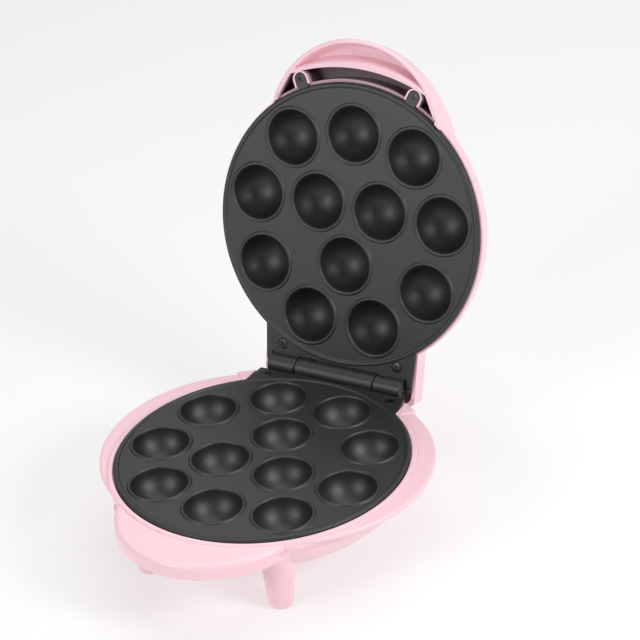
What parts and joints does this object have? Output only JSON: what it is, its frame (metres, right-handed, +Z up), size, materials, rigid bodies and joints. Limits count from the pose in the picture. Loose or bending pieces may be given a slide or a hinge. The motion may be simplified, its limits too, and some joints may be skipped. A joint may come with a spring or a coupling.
{
  "type": "ball cake maker",
  "caption": "Clamshell electric baker: round non-stick plates with hemispherical cups, hinged domed lid with scooped handle, bowl base on tapered feet, lid open.",
  "frame": {"origin": "under the middle of the open object's box, on the surface that its feet stand on", "axes": "+Z up, +X to the right seen from the handle side, +Y from the handle towards the hinge"},
  "size_m": [0.225, 0.317, 0.2806],
  "materials": {
    "pink_shell": "gloss, smooth moulded",
    "nonstick_plate": "satin black non-stick coating on cast aluminium",
    "foot_rubber": "matt",
    "black_screw": "black oxide",
    "heater_sheath": "annealed",
    "heater_pan": "bright",
    "plated_steel": "zinc plated",
    "ceramic": "matt",
    "black_plastic": "matt",
    "red_lens": "clear gloss",
    "green_lens": "clear gloss",
    "lamp_glass": "clear",
    "lamp_board": "matt"
  },
  "bodies": {
    "base": {"lower_housing": "pink_shell", "front_left_foot_pad": "foot_rubber", "front_right_foot_pad": "foot_rubber", "rear_left_foot_pad": "foot_rubber", "rear_right_foot_pad": "foot_rubber", "lower_plate": "nonstick_plate", "hinge_pin": "plated_steel", "lower_tab_screw_left": "black_screw", "lower_tab_screw_right": "black_screw", "lower_heater": "heater_sheath", "lower_heater_pan": "heater_pan", "lower_pan_screw_1": "plated_steel", "lower_pan_screw_2": "plated_steel", "lower_pan_screw_3": "plated_steel", "lower_pan_screw_4": "plated_steel", "lower_heater_clamp_1": "plated_steel", "lower_heater_clamp_1_screw": "plated_steel", "lower_heater_clamp_2": "plated_steel", "lower_heater_clamp_2_screw": "plated_steel", "lower_heater_clamp_3": "plated_steel", "lower_heater_clamp_3_screw": "plated_steel", "cooking_thermostat": "ceramic", "thermal_fuse": "ceramic", "terminal_block": "ceramic", "cord_gland": "black_plastic"},
    "lid": {"upper_housing": "pink_shell", "upper_plate": "nonstick_plate", "upper_tab_screw_left": "black_screw", "upper_tab_screw_right": "black_screw", "upper_ear_screw_left": "black_screw", "upper_ear_screw_right": "black_screw", "upper_heater": "heater_sheath", "upper_heater_pan": "heater_pan", "upper_pan_screw_1": "plated_steel", "upper_pan_screw_2": "plated_steel", "upper_pan_screw_3": "plated_steel", "upper_pan_screw_4": "plated_steel", "upper_heater_clamp_1": "plated_steel", "upper_heater_clamp_1_screw": "plated_steel", "upper_heater_clamp_2": "plated_steel", "upper_heater_clamp_2_screw": "plated_steel", "upper_heater_clamp_3": "plated_steel", "upper_heater_clamp_3_screw": "plated_steel", "ready_thermostat": "ceramic", "power_lens": "red_lens", "ready_lens": "green_lens", "power_lamp": "lamp_glass", "ready_lamp": "lamp_glass", "lamp_board": "lamp_board"}
  },
  "joints": [
    {"name": "lid_hinge", "type": "hinge", "parent": "base", "child": "lid", "pos_m": [0, 0.07252, 0.0584], "axis": [1, 0, 0], "range_deg": [0, 105.8]}
  ]
}
